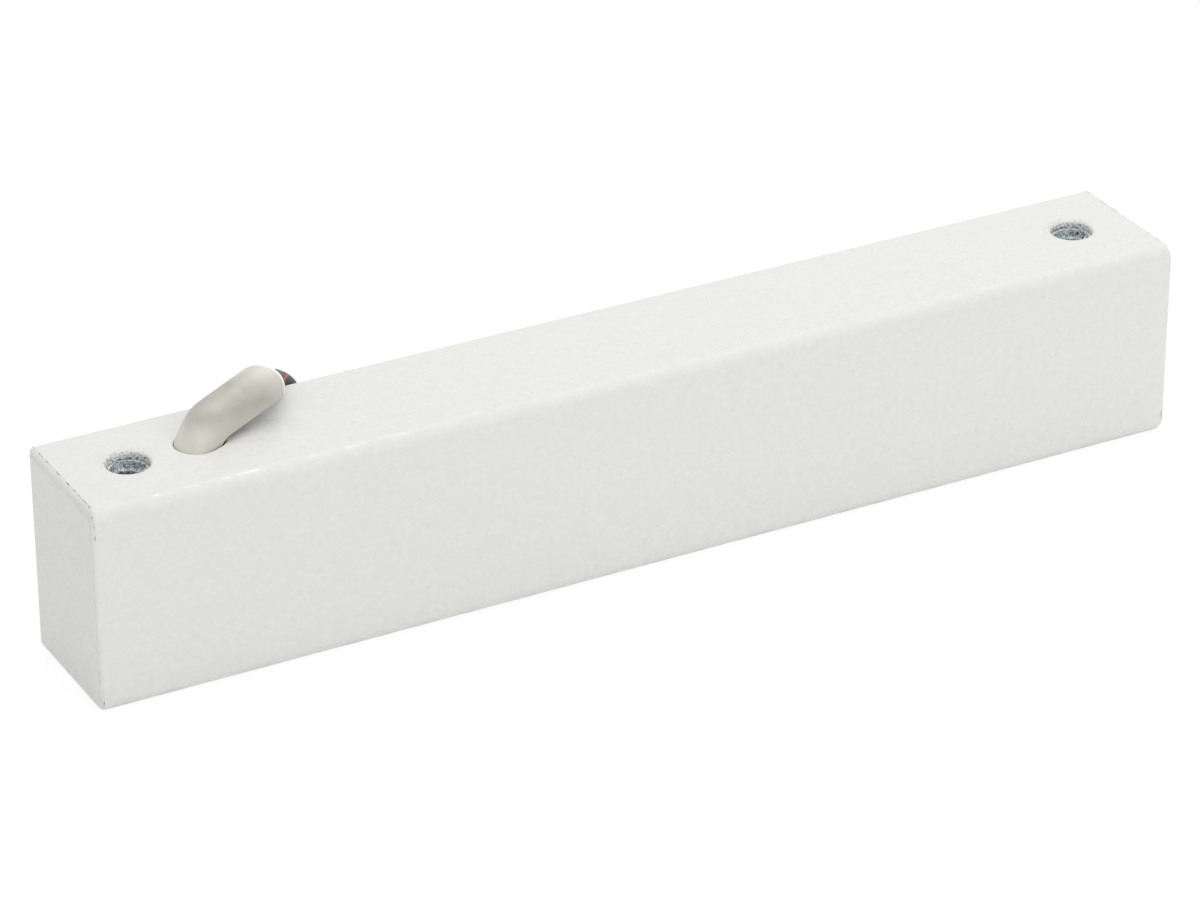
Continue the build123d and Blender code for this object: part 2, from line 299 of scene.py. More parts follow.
def finishPiece(piece, material, slot, *replaced):
    piece.data.materials.clear()
    piece.data.materials.append(material)
    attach(piece, "root")
    if replaced:
        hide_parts(*replaced)
    return piece


# Finishes

noiseMiddle = 0.5  # what a noise texture gives on average
fixingHole = {"x": 88.0, "y": 0.3, "radius": 3.52}  # in the case's top, one near each end


def addColours(tree, shader, colour, layers):
    # Colours laid over the first one, each as far as its share goes
    for share, tone in layers:
        layer = addNode(tree, "Mix", {"Factor": share, "A": colour, "B": tone}, data_type="RGBA")
        colour = layer.outputs["Result"]
    tree.links.new(colour, shader.inputs["Base Color"])


def addGloss(tree, shader, grain, roughness):
    # Roughness that follows a fine grain
    rough = addNode(tree, "MapRange", {"Value": grain, "To Min": roughness[0], "To Max": roughness[1]})
    tree.links.new(rough.outputs[0], shader.inputs["Roughness"])


def addRelief(tree, shader, layers):
    # Heights laid over each other: what gives the height, millimetres, whether it goes inwards
    normal = None
    for height, heightMm, inwards in layers:
        bump = addNode(tree, "Bump", {
            "Height": height, "Strength": 1.0, "Distance": heightMm * mm,
        }, invert=inwards)
        if normal is not None:
            tree.links.new(normal, bump.inputs["Normal"])
        normal = bump.outputs[0]
    tree.links.new(normal, shader.inputs["Normal"])


powderSettings = {
    "colour": "#e6e6e3",
    "peelShade": "#e3e3e0",  # painted shade in the low spots of the orange peel
    "peelShadeEdges": (0.3, 0.62),
    "peelMm": 1.3,
    "peelHeightMm": 0.026,
    "fineMm": 0.55,
    "fineHeightMm": 0.005,
    "roughness": (0.16, 0.3),
    "dullMm": 3.2,  # patches of duller skin that break up the light along the bend
    "dullEdges": (0.42, 0.58),
    "dullRoughness": 0.4,
    "dullEnd": 0.2,  # share of that on the flat ends
    "dullEndMm": (1.2, 0.3),  # where it fades out, from the end inwards
    "scuff": "#c3c3bf",
    "scuffCellMm": 8.0,
    "scuffMm": 0.5,
    "scuffStrength": 0.5,
    "scuffStrayMm": 0.9,
    "scuffFree": 0.62,  # share of the cells that have none
    "crack": "#5a5a56",
    "crackHalfMm": 0.09,
    "crackCore": 0.4,  # share of its width that is quite dark
    "crackDepthMm": 0.08,
    "crackDashMm": 1.6,
    "crackDashEdges": (0.5, 0.62),
    "crackFaint": 0.16,  # between the dashes
    "crackMiddle": 18.0,
    "crackFree": 13.0,  # no cracks this near to the case's middle height
    "crackFade": 1.0,
    "crackFrontMm": 0.5,  # how far the joint lies nearer to the end on the front
    "crackFrontY": (-10.0, -12.0),  # between these it gets there
    "burr": "#9a9ea0",
    "burrWidth": 2.1,
    "burrInner": 0.3,  # how far inside the hole's edge it is strongest
    "burrFloor": (33.9, 34.0),  # none lower down
    "burrTurn": 1.5,  # it grows from this far before the hole's middle to this far behind it
    "burrNear": 0.1,  # share of it on the near side
    "burrGrainMm": 0.36,
    "burrHeightMm": 0.3,
    "burrNeeded": (0.68, 0.49),  # grain that makes a speck, at the halo's outside and at the hole
    "burrSoft": 0.12,
    "burrStart": 0.06,
    "bareSteel": "#6f7679",
    "bareTop": 34.8,  # below this the wall of a hole has hardly any paint
    "bareFade": 0.3,
    "bareShare": 0.3,
    "wallReach": 0.1,
}


def paintCracks(tree, place, axes, farX, s):
    # Paint that cracked along the joint of an end plate, in short dashes
    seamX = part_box("case_channel")[1].x
    seam = addNode(tree, "MapRange", {
        "Value": axes["Y"], "From Min": s["crackFrontY"][0] * mm, "From Max": s["crackFrontY"][1] * mm,
        "To Min": seamX, "To Max": seamX + s["crackFrontMm"] * mm,
    })
    off = addNode(tree, "Math", {0: farX, 1: seam}, operation="SUBTRACT")
    offAbs = addNode(tree, "Math", {0: off}, operation="ABSOLUTE")
    line = addNode(tree, "MapRange", {
        "Value": offAbs, "From Min": s["crackHalfMm"] * mm,
        "From Max": s["crackCore"] * s["crackHalfMm"] * mm,
    })
    dash = addNode(tree, "TexNoise", {
        "Vector": place, "Scale": 1 / (s["crackDashMm"] * mm), "Detail": 3.0, "Roughness": 0.7,
    })
    dashes = addNode(tree, "MapRange", {
        "Value": dash, "From Min": s["crackDashEdges"][0], "From Max": s["crackDashEdges"][1],
        "To Min": s["crackFaint"],
    })
    midway = addNode(tree, "Math", {0: axes["Z"], 1: s["crackMiddle"] * mm}, operation="SUBTRACT")
    midwayAbs = addNode(tree, "Math", {0: midway}, operation="ABSOLUTE")
    corner = addNode(tree, "MapRange", {
        "Value": midwayAbs, "From Min": s["crackFree"] * mm,
        "From Max": (s["crackFree"] + s["crackFade"]) * mm,
    })
    dashed = addNode(tree, "Math", {0: line, 1: dashes}, operation="MULTIPLY")
    crack = addNode(tree, "Math", {0: dashed, 1: corner}, operation="MULTIPLY")
    return crack.outputs[0]


def paintHoleSpecks(tree, place, axes, farX, s, hole):
    # Rough paint round the far side of each fixing hole, speckled with bare metal
    point = addNode(tree, "CombineXYZ", {"X": farX, "Y": axes["Y"], "Z": 0.0})
    offset = addNode(tree, "VectorMath", {
        0: point, 1: (hole["x"] * mm, hole["y"] * mm, 0),
    }, operation="SUBTRACT")
    reach = addNode(tree, "VectorMath", {0: offset}, operation="LENGTH").outputs["Value"]
    ring = addNode(tree, "MapRange", {
        "Value": reach, "From Min": (hole["radius"] + s["burrWidth"]) * mm,
        "From Max": (hole["radius"] - s["burrInner"]) * mm,
    })
    high = addNode(tree, "MapRange", {
        "Value": axes["Z"], "From Min": s["burrFloor"][0] * mm, "From Max": s["burrFloor"][1] * mm,
    })
    fromMiddle = addNode(tree, "SeparateXYZ", {0: offset})
    behind = addNode(tree, "MapRange", {
        "Value": fromMiddle.outputs["Y"], "From Min": -s["burrTurn"] * mm, "From Max": s["burrTurn"] * mm,
        "To Min": s["burrNear"],
    })
    halo = addNode(tree, "Math", {0: ring, 1: high}, operation="MULTIPLY")
    haloFar = addNode(tree, "Math", {0: halo, 1: behind}, operation="MULTIPLY")
    grain = addNode(tree, "TexNoise", {
        "Vector": place, "Scale": 1 / (s["burrGrainMm"] * mm), "Detail": 2.0, "Roughness": 0.6,
    })
    needed = addNode(tree, "MapRange", {
        "Value": haloFar, "To Min": s["burrNeeded"][0], "To Max": s["burrNeeded"][1],
    })
    inside = addNode(tree, "Math", {
        0: reach, 1: (hole["radius"] + s["wallReach"]) * mm,
    }, operation="LESS_THAN")
    deep = addNode(tree, "MapRange", {
        "Value": axes["Z"], "From Min": (s["bareTop"] + s["bareFade"]) * mm,
        "From Max": (s["bareTop"] - s["bareFade"]) * mm, "To Max": s["bareShare"],
    })
    bare = addNode(tree, "Math", {0: inside, 1: deep}, operation="MULTIPLY")
    rougher = addNode(tree, "Math", {0: grain, 1: bare}, operation="ADD")
    speck = addNode(tree, "Math", {0: rougher, 1: needed}, operation="SUBTRACT")
    strength = addNode(tree, "MapRange", {"Value": haloFar, "From Max": s["burrStart"]})
    specks = addNode(tree, "MapRange", {"Value": speck, "From Max": s["burrSoft"], "To Max": strength})
    tone = addNode(tree, "Mix", {
        "Factor": inside, "A": hexToLinear(s["burr"]), "B": hexToLinear(s["bareSteel"]),
    }, data_type="RGBA")
    ruffle = addNode(tree, "Math", {0: grain, 1: haloFar}, operation="MULTIPLY")
    return specks.outputs[0], tone.outputs["Result"], ruffle.outputs[0]


def paintScuffs(tree, place, s):
    # Small grey scuffs, only in some cells of a loose pattern
    stray = s["scuffStrayMm"] * mm
    wander = addNode(tree, "TexNoise", {"Vector": place, "Scale": 1 / stray, "Detail": 2.0})
    shift = addNode(tree, "VectorMath", {
        0: wander.outputs["Color"], 1: (stray, stray, stray),
    }, operation="MULTIPLY")
    loose = addNode(tree, "VectorMath", {0: place, 1: shift}, operation="ADD")
    cells = addNode(tree, "TexVoronoi", {"Vector": loose, "Scale": 1 / (s["scuffCellMm"] * mm)})
    blot = addNode(tree, "MapRange", {
        "Value": cells.outputs["Distance"], "From Min": s["scuffMm"] / s["scuffCellMm"], "From Max": 0.0,
        "To Max": s["scuffStrength"],
    })
    cellPick = addNode(tree, "SeparateXYZ", {0: cells.outputs["Color"]})
    chosen = addNode(tree, "Math", {0: cellPick.outputs["X"], 1: s["scuffFree"]}, operation="GREATER_THAN")
    scuff = addNode(tree, "Math", {0: blot, 1: chosen}, operation="MULTIPLY")
    return scuff.outputs[0]


def makePowderCoat(s, hole):
    # Polyester powder coat, sprayed and baked on steel: a soft gloss broken up by orange peel
    material, tree, shader, place = startMaterial("whitePowderCoat")
    axes = addNode(tree, "SeparateXYZ", {0: place}).outputs
    farX = addNode(tree, "Math", {0: axes["X"]}, operation="ABSOLUTE").outputs[0]
    peel = addNode(tree, "TexNoise", {
        "Vector": place, "Scale": 1 / (s["peelMm"] * mm), "Detail": 2.0, "Roughness": 0.45,
    }).outputs["Fac"]
    fine = addNode(tree, "TexNoise", {
        "Vector": place, "Scale": 1 / (s["fineMm"] * mm), "Detail": 2.0, "Roughness": 0.5,
    }).outputs["Fac"]
    hills = addNode(tree, "MapRange", {
        "Value": peel, "From Min": s["peelShadeEdges"][0], "From Max": s["peelShadeEdges"][1],
    })
    crack = paintCracks(tree, place, axes, farX, s)
    specks, speckTone, ruffle = paintHoleSpecks(tree, place, axes, farX, s, hole)

    # the first colour is painted shade in the low spots of the orange peel
    addColours(tree, shader, hexToLinear(s["peelShade"]), [
        (hills, hexToLinear(s["colour"])),
        (paintScuffs(tree, place, s), hexToLinear(s["scuff"])),
        (crack, hexToLinear(s["crack"])),
        (specks, speckTone),
    ])
    gloss = addNode(tree, "MapRange", {
        "Value": fine, "To Min": s["roughness"][0], "To Max": s["roughness"][1],
    })
    patch = addNode(tree, "TexNoise", {"Vector": place, "Scale": 1 / (s["dullMm"] * mm), "Detail": 2.5})
    dull = addNode(tree, "MapRange", {
        "Value": patch, "From Min": s["dullEdges"][0], "From Max": s["dullEdges"][1],
        "To Max": s["dullRoughness"],
    })
    evenEnd = addNode(tree, "MapRange", {
        "Value": farX, "From Min": cadHigh.x - s["dullEndMm"][0] * mm,
        "From Max": cadHigh.x - s["dullEndMm"][1] * mm, "To Min": 1.0, "To Max": s["dullEnd"],
    })
    rough = addNode(tree, "Math", {0: dull, 1: evenEnd, 2: gloss}, operation="MULTIPLY_ADD")
    tree.links.new(rough.outputs[0], shader.inputs["Roughness"])
    addRelief(tree, shader, [
        (peel, s["peelHeightMm"], False),
        (fine, s["fineHeightMm"], False),
        (ruffle, s["burrHeightMm"], True),
        (crack, s["crackDepthMm"], True),
    ])
    return material


metalSettings = {
    # colour, roughness, grain in mm, bump in mm
    "nickelSheet": ("#c6c3bc", (0.6, 0.7), 0.35, 0.004),
    "tinnedCopper": ("#c9c9c6", (0.25, 0.42), 0.4, 0.004),
    "rivetSteel": ("#b4b4b2", (0.3, 0.45), 0.6, 0.004),
}
cloudSettings = {"grains": 7, "edges": (0.36, 0.64), "tone": 0.93}


def makeMetal(name, clouds):
    # Plated or bare metal: the plating leaves a fine grain that softens its reflections, and faint clouds
    colour, roughness, grainMm, bumpMm = metalSettings[name]
    material, tree, shader, place = startMaterial(name)
    shader.inputs["Metallic"].default_value = 1.0
    grain = addNode(tree, "TexNoise", {
        "Vector": place, "Scale": 1 / (grainMm * mm), "Detail": 4.0, "Roughness": 0.6,
    })
    patch = addNode(tree, "TexNoise", {
        "Vector": place, "Scale": 1 / (clouds["grains"] * grainMm * mm), "Detail": 2.0,
    })
    cloud = addNode(tree, "MapRange", {
        "Value": patch, "From Min": clouds["edges"][0], "From Max": clouds["edges"][1],
    })
    base = Vector(hexToLinear(colour)[:3])
    addColours(tree, shader, (*(base * clouds["tone"]), 1), [(cloud, (*base, 1))])
    addGloss(tree, shader, grain, roughness)
    addRelief(tree, shader, [(grain, bumpMm, False)])
    return material


threadSettings = {
    "zinc": "#e8f1f4",
    "creaseShade": "#0e1417",
    "overspray": "#ecece9",
    "lumpMm": 0.8,
    "lumpHeightMm": 0.2,
    "crease": (0.005, 0.055),  # noise from the middle of a crease of painted shade to its edge
    "metallic": 0.2,
    "roughness": 0.5,
    "sprayFromMm": 34.4,  # white dust only lies above this height
    "sprayFadeMm": 0.9,
    "sprayShare": (-0.35, 0.25),
    "sprayEdges": (0.5, 0.6),
}


def makeThreadZinc(s):
    # Rough zinc plating in the threads, with painted shade in its dark creases, dusted with white powder
    # near the rim
    material, tree, shader, place = startMaterial("threadZinc")
    lump = addNode(tree, "TexNoise", {
        "Vector": place, "Scale": 1 / (s["lumpMm"] * mm), "Detail": 3.0, "Roughness": 0.6,
        "Distortion": 1.2,
    }).outputs["Fac"]
    crease = addNode(tree, "Math", {0: lump, 1: noiseMiddle}, operation="SUBTRACT")
    creaseAbs = addNode(tree, "Math", {0: crease}, operation="ABSOLUTE")
    tone = addNode(tree, "MapRange", {
        "Value": creaseAbs, "From Min": s["crease"][0], "From Max": s["crease"][1],
    })
    axes = addNode(tree, "SeparateXYZ", {0: place})
    height = addNode(tree, "MapRange", {
        "Value": axes.outputs["Z"], "From Min": s["sprayFromMm"] * mm,
        "From Max": (s["sprayFromMm"] + s["sprayFadeMm"]) * mm,
        "To Min": s["sprayShare"][0], "To Max": s["sprayShare"][1],
    })
    dust = addNode(tree, "Math", {0: lump, 1: height}, operation="ADD")
    dusted = addNode(tree, "MapRange", {
        "Value": dust, "From Min": s["sprayEdges"][0], "From Max": s["sprayEdges"][1],
    })
    # the dark creases are painted shade
    addColours(tree, shader, hexToLinear(s["creaseShade"]), [
        (tone, hexToLinear(s["zinc"])),
        (dusted, hexToLinear(s["overspray"])),
    ])
    metal = addNode(tree, "MapRange", {"Value": dusted, "To Min": s["metallic"], "To Max": 0.0})
    tree.links.new(metal.outputs[0], shader.inputs["Metallic"])
    shader.inputs["Roughness"].default_value = s["roughness"]
    addRelief(tree, shader, [(lump, s["lumpHeightMm"], False)])
    return material


plasticSettings = {
    # colour, darker tone, roughness, grain in mm, bump in mm
    "pottingEpoxy": ("#3a3b3d", "#2a2b2d", (0.3, 0.5), 1.4, 0.02),
    "naturalNylon": ("#dedbd0", "#cfcbbd", (0.4, 0.55), 0.8, 0.004),
    "shrinkSleeve": ("#232324", "#19191a", (0.45, 0.6), 0.5, 0.006),
    "diodeEpoxy": ("#262627", "#1b1b1c", (0.35, 0.5), 0.4, 0.004),
    "polyesterTape": ("#d8b64a", "#c6a23a", (0.2, 0.35), 1.5, 0.004),
}


def makePlastic(name):
    # Cast or moulded plastic: one even colour with faint clouds and a fine skin
    colour, dark, roughness, grainMm, bumpMm = plasticSettings[name]
    material, tree, shader, place = startMaterial(name)
    grain = addNode(tree, "TexNoise", {
        "Vector": place, "Scale": 1 / (grainMm * mm), "Detail": 3.0, "Roughness": 0.55,
    })
    addColours(tree, shader, hexToLinear(dark), [(grain, hexToLinear(colour))])
    addGloss(tree, shader, grain, roughness)
    addRelief(tree, shader, [(grain, bumpMm, False)])
    return material


laminationSettings = {
    "edge": "#b9b9b6",
    "gap": "#7e7d79",
    "rust": "#8d7f70",
    "sheetMm": 1.0,
    "gapShare": (0.12, 0.26),  # of a sheet, from the bottom of the gap to its edge
    "gapDepthMm": 0.02,
    "scratchMm": (14.0, 0.5, 0.25),
    "scratchDepthMm": 0.006,
    "roughness": (0.26, 0.5),
    "rustMm": 9.0,
    "rustEdges": (0.56, 0.78),
    "rustStrength": 0.55,
}


def makeLaminations(s):
    # Ground edges of stacked steel sheets; real ones are 0.5 mm, drawn twice as coarse so that they show
    material, tree, shader, place = startMaterial("groundLaminations")
    shader.inputs["Metallic"].default_value = 1.0
    axes = addNode(tree, "SeparateXYZ", {0: place})
    sheets = addNode(tree, "Math", {
        0: axes.outputs["X"], 1: 1 / (s["sheetMm"] * mm),
    }, operation="MULTIPLY")
    saw = addNode(tree, "Math", {0: sheets}, operation="FRACT")
    groove = addNode(tree, "MapRange", {
        "Value": saw, "From Min": s["gapShare"][0], "From Max": s["gapShare"][1],
    })
    scratch = addNode(tree, "Mapping", {
        "Vector": place, "Scale": [1 / (size * mm) for size in s["scratchMm"]],
    })
    grind = addNode(tree, "TexNoise", {
        "Vector": scratch, "Scale": 1.0, "Detail": 4.0, "Roughness": 0.6,
    })
    bloom = addNode(tree, "TexNoise", {
        "Vector": place, "Scale": 1 / (s["rustMm"] * mm), "Detail": 4.0, "Roughness": 0.65,
    })
    stain = addNode(tree, "MapRange", {
        "Value": bloom, "From Min": s["rustEdges"][0], "From Max": s["rustEdges"][1],
        "To Max": s["rustStrength"],
    })
    addColours(tree, shader, hexToLinear(s["gap"]), [
        (groove, hexToLinear(s["edge"])),
        (stain, hexToLinear(s["rust"])),
    ])
    addGloss(tree, shader, grind, s["roughness"])
    addRelief(tree, shader, [(groove, s["gapDepthMm"], False), (grind, s["scratchDepthMm"], False)])
    return material


windingSettings = {
    "copper": "#a8562a",
    "shadow": "#6b3014",
    "wireMm": 0.6,
    "reliefMm": 0.15,
    "metallic": 0.6,
    "roughness": 0.32,
}


def makeWinding(s):
    # Enamelled copper wire wound round the middle pole: rows of fine turns along Y
    material, tree, shader, place = startMaterial("enamelledCopper")
    shader.inputs["Metallic"].default_value = s["metallic"]
    shader.inputs["Roughness"].default_value = s["roughness"]
    axes = addNode(tree, "SeparateXYZ", {0: place})
    turns = addNode(tree, "Math", {
        0: axes.outputs["Y"], 1: math.pi / (s["wireMm"] * mm),
    }, operation="MULTIPLY")
    wave = addNode(tree, "Math", {0: turns}, operation="SINE")
    crown = addNode(tree, "Math", {0: wave}, operation="ABSOLUTE")
    addColours(tree, shader, hexToLinear(s["shadow"]), [(crown, hexToLinear(s["copper"]))])
    addRelief(tree, shader, [(crown, s["reliefMm"], False)])
    return material


coreSettings = {
    "red": "#b3282a",
    "black": "#1d1d1f",
    "splitPoint": (12.0, 38.1, 5.4),
    "splitSide": (0.342, -0.940, 0.0),
    "grainMm": 0.8,
    "roughness": (0.28, 0.42),
}


def makeCoreInsulation(s):
    # Smooth PVC on the two conductors, told apart by which side of the cable's end they lie on
    material, tree, shader, place = startMaterial("coreInsulation")
    point = addNode(tree, "VectorMath", {
        0: place, 1: [v * mm for v in s["splitPoint"]],
    }, operation="SUBTRACT")
    side = addNode(tree, "VectorMath", {0: point, 1: s["splitSide"]}, operation="DOT_PRODUCT")
    which = addNode(tree, "Math", {0: side.outputs["Value"], 1: 0.0}, operation="GREATER_THAN")
    addColours(tree, shader, hexToLinear(s["black"]), [(which, hexToLinear(s["red"]))])
    grain = addNode(tree, "TexNoise", {"Vector": place, "Scale": 1 / (s["grainMm"] * mm), "Detail": 2.0})
    addGloss(tree, shader, grain, s["roughness"])
    return material


sheathSettings = {
    "colour": "#454547",
    "dark": "#373739",
    "grainMm": 0.7,
    "bumpMm": 0.006,
    "roughness": (0.38, 0.55),
    "tracer": "#c8474f",
    "tracerMm": 0.45,
    "tracerEdges": (1.25, 0.8),  # where it ends and where it is full, in half widths
    "tracerAt": 0.25,  # round the cable, from 0 to 1
    "tracerTurns": 14.0,  # over the cable's length
}


def makeSheath(s, diameterMm):
    # Extruded dark grey PVC with one red tracer line wound round it
    material, tree, shader, place = startMaterial("greySheath")
    around = addNode(tree, "UVMap", uv_map="UVMap")
    axes = addNode(tree, "SeparateXYZ", {0: around})
    wound = addNode(tree, "Math", {
        0: axes.outputs["X"], 1: s["tracerTurns"], 2: axes.outputs["Y"],
    }, operation="MULTIPLY_ADD")
    middle = 0.5  # of a turn
    shifted = addNode(tree, "Math", {0: wound, 1: middle - s["tracerAt"]}, operation="ADD")
    turn = addNode(tree, "Math", {0: shifted}, operation="FRACT")
    off = addNode(tree, "Math", {0: turn, 1: middle}, operation="SUBTRACT")
    offAbs = addNode(tree, "Math", {0: off}, operation="ABSOLUTE")
    half = s["tracerMm"] / (2 * math.pi * diameterMm)
    line = addNode(tree, "MapRange", {
        "Value": offAbs, "From Min": half * s["tracerEdges"][0],
        "From Max": half * s["tracerEdges"][1],
    })
    grain = addNode(tree, "TexNoise", {
        "Vector": place, "Scale": 1 / (s["grainMm"] * mm), "Detail": 3.0, "Roughness": 0.6,
    })
    addColours(tree, shader, hexToLinear(s["dark"]), [
        (grain, hexToLinear(s["colour"])),
        (line, hexToLinear(s["tracer"])),
    ])
    addGloss(tree, shader, grain, s["roughness"])
    addRelief(tree, shader, [(grain, s["bumpMm"], False)])
    return material


# Painted case

caseSettings = {
    "sheet": 2.0,
    "bendRadius": 2.4,
    "bendSegments": 14,
    "edgeRadius": 0.4,
    "edgeSegments": 4,
    "edgeLeast": 50.0,  # only the flanges' edges are longer than this
    "endRound": 1.5,
    "endSegments": 8,
    "frontShare": 0.33,  # the end's front edge is ground to this share of that rounding
    "holePoints": 72,
    "holeRimRadius": 0.6,
    "holeRimSegments": 6,
    "slotRimRadius": 0.22,
    "slotRimSegments": 3,
    "rimReach": 7.0,  # rims lie this near to the line of the holes
    "rimSpan": 1.5,  # a hole's rim lies within this many radii
    "rimAngle": 57.0,  # degrees; a rim is a sharper edge than this
}


def makeCaseBody(s):
    # Closed outer form of the channel and its two plates, as it is ground before it is painted
    low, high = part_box("case_channel")
    body = addBox("caseBody", (cadLow.x, low.y, low.z), (-cadLow.x, high.y, high.z))
    bevelEdges(
        body,
        lambda e: all(near(v.co.y, low.y) for v in e.verts) and near(e.verts[0].co.z, e.verts[1].co.z),
        s["bendRadius"], s["bendSegments"],
    )
    weights = body.data.attributes.new("bevel_weight_edge", "FLOAT", "EDGE")
    for edge in body.data.edges:
        start, stop = (body.data.vertices[i].co for i in edge.vertices)
        if near(start.x, stop.x):
            along = abs((stop - start).normalized().y)
            share = s["frontShare"] + (1 - s["frontShare"]) * along
            weights.data[edge.index].value = share if start.y + stop.y < 0 else 1.0
    applyModifier(
        body, "BEVEL", width=s["endRound"] * mm, segments=s["endSegments"], limit_method="WEIGHT",
        offset_type="OFFSET",
    )
    return body


def copyPiece(piece, name):
    pickActive(piece)
    bpy.ops.object.duplicate(linked=False)
    copied = bpy.context.object
    copied.name = name
    return copied


def cutAcross(piece, x, keepSide, fill):
    selectWhere(piece, "FACE", lambda f: True)
    bpy.ops.mesh.bisect(
        plane_co=(x, 0, 0), plane_no=(keepSide, 0, 0), clear_inner=True, use_fill=fill, threshold=1e-7
    )
    bpy.ops.object.mode_set(mode="OBJECT")


def makeCase(s, hole, body, hood, paint):
    low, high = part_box("case_channel")
    case = copyPiece(body, "case_folded_sheet")
    cutAcross(case, low.x, 1, False)
    cutAcross(case, high.x, -1, False)
    deleteFaces(case, lambda f: f.normal.y > facing)
    applyModifier(case, "SOLIDIFY", thickness=s["sheet"] * mm, offset=-1, use_even_offset=True)
    bevelEdges(
        case,
        lambda e: all(near(v.co.y, high.y) for v in e.verts) and near(e.verts[0].co.z, e.verts[1].co.z)
        and e.calc_length() > s["edgeLeast"] * mm,
        s["edgeRadius"], s["edgeSegments"],
    )
    for side in (-1, 1):
        place = (side * hole["x"] * mm, hole["y"] * mm, high.z)
        drill = addCylinder("holeTool", place, hole["radius"] * mm, 4 * s["sheet"] * mm, s["holePoints"])
        combine(case, drill, "DIFFERENCE")
    combine(case, makeHoodSlot(hood, high.z, s["sheet"]), "DIFFERENCE")
    cleanMesh(case)

    def onRim(edge, atHole):
        # Edges between the flat top and the wall of a hole or of the slot
        if len(edge.link_faces) != 2 or not all(near(v.co.z, high.z) for v in edge.verts):
            return False
        if edge.calc_face_angle(0) < math.radians(s["rimAngle"]):
            return False
        if any(abs(v.co.y - hole["y"] * mm) > s["rimReach"] * mm for v in edge.verts):
            return False
        offHole = abs(abs(edge.verts[0].co.x) - hole["x"] * mm)
        return atHole == (offHole < s["rimSpan"] * hole["radius"] * mm)

    bevelEdges(case, lambda e: onRim(e, True), s["holeRimRadius"], s["holeRimSegments"])
    bevelEdges(case, lambda e: onRim(e, False), s["slotRimRadius"], s["slotRimSegments"])
    smoothByAngle(case)
    applyModifier(case, "WEIGHTED_NORMAL", keep_sharp=True)
    return finishPiece(case, paint, "white_powder_coat", "case_channel")


def makeEndPlate(node, name, side, body, paint):
    low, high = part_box(node)
    plate = copyPiece(body, name)
    cutAcross(plate, high.x if side < 0 else low.x, side, True)
    cleanMesh(plate)
    smoothByAngle(plate)
    applyModifier(plate, "WEIGHTED_NORMAL", keep_sharp=True)
    return finishPiece(plate, paint, "white_powder_coat", node)


# Cable hood

hoodSettings = {
    "root": (-76.5, 0.85),
    "heading": 22.4,  # degrees, as the rise and the skew
    "rise": 8.2,
    "bendRadius": 5.6,
    "cornerHeight": 1.9,
    "reach": 16.2,
    "skew": 25.0,
    "halfWidth": 3.65,
    "leg": 1.65,
    "wall": 0.5,
    "gap": 0.15,
    "rootDepth": 7.0,
    "cornerRadius": 0.9,
    "cornerSegments": 5,
    "rimRadius": 0.14,
    "rimSegments": 2,
    "rimAngle": 70.0,  # degrees, as the next one
    "smoothAngle": 50.0,
    "archPoints": 64,
    "bendSteps": 24,
    "mouthSteps": 10,
    "noseFit": 0.75,  # the slot's paint closes in on the pinched nose by this much
    "slotTool": 12.0,
    # painted highlight along the mouth's sheared edge
    "edgeHighlight": "#fdfcf8",
    "highlightWidth": 0.45,
    "highlightFull": 0.6,  # share of that width where the painted highlight is full
    "sheen": "#dcd9d2",  # painted sheen, lighter as if lit, at the nose and towards the mouth
    "sheenMouth": 6.5,
    "sheenNose": (41.0, 37.4),  # heights where it starts and where it is full
    "dents": [
        # along the heading, across, up; how far it is pushed on the same axes; reach
        (-3.3, 0.0, 0.3, (0.75, 0.0, 0.0), 4.0),
        (-2.4, 0.6, 3.2, (0.55, -0.1, -0.1), 6.0),
        (-1.2, -2.6, 4.6, (0.12, 0.25, -0.12), 2.6),
    ],
}


def hoodPlan(s, topZ):
    heading = math.radians(s["heading"])
    rise = math.radians(s["rise"])
    forward = Vector((math.cos(heading), math.sin(heading), 0))
    tangent = s["bendRadius"] * math.tan((math.pi / 2 - rise) / 2)
    root = Vector((s["root"][0] * mm, s["root"][1] * mm, topZ))
    corner = root + Vector((0, 0, s["cornerHeight"] * mm))
    out = forward * math.cos(rise) + Vector((0, 0, math.sin(rise)))
    return {
        "forward": forward,
        "turn": math.pi / 2 - rise,
        "out": out,
        "root": root,
        "bendStart": corner - Vector((0, 0, tangent * mm)),
        "straight": (s["reach"] - tangent) * mm,
        "mouth": corner + out * s["reach"] * mm,
    }


def makeHoodSlot(s, topZ, sheet):
    # Slot with round ends that clears the hood where it comes up through the flange
    plan = hoodPlan(s, topZ)
    forward = plan["forward"]
    half = s["halfWidth"] + s["gap"]
    sunk = (topZ - plan["bendStart"].z) / mm
    inner = max(sunk - sheet, 0)
    nose = s["bendRadius"] - math.sqrt((s["bendRadius"] + s["halfWidth"]) ** 2 - inner ** 2)
    heel = s["bendRadius"] - math.sqrt(max((s["bendRadius"] - s["leg"]) ** 2 - sunk ** 2, 0))
    start = nose + s["halfWidth"] + s["noseFit"]
    end = heel + s["gap"] - math.sqrt(half ** 2 - s["halfWidth"] ** 2)
    centre = plan["root"] + forward * ((start + end) / 2) * mm
    turn = math.radians(s["heading"])
    slot = addCylinder("slotTool", centre, half * mm, s["slotTool"] * mm, s["archPoints"], turn)
    for side in (1, -1):
        selectWhere(slot, "VERT", lambda v: side * ((v.co - centre).dot(forward) - touching) > 0)
        bpy.ops.transform.translate(value=forward * side * (end - start) / 2 * mm)
        bpy.ops.object.mode_set(mode="OBJECT")
    return slot


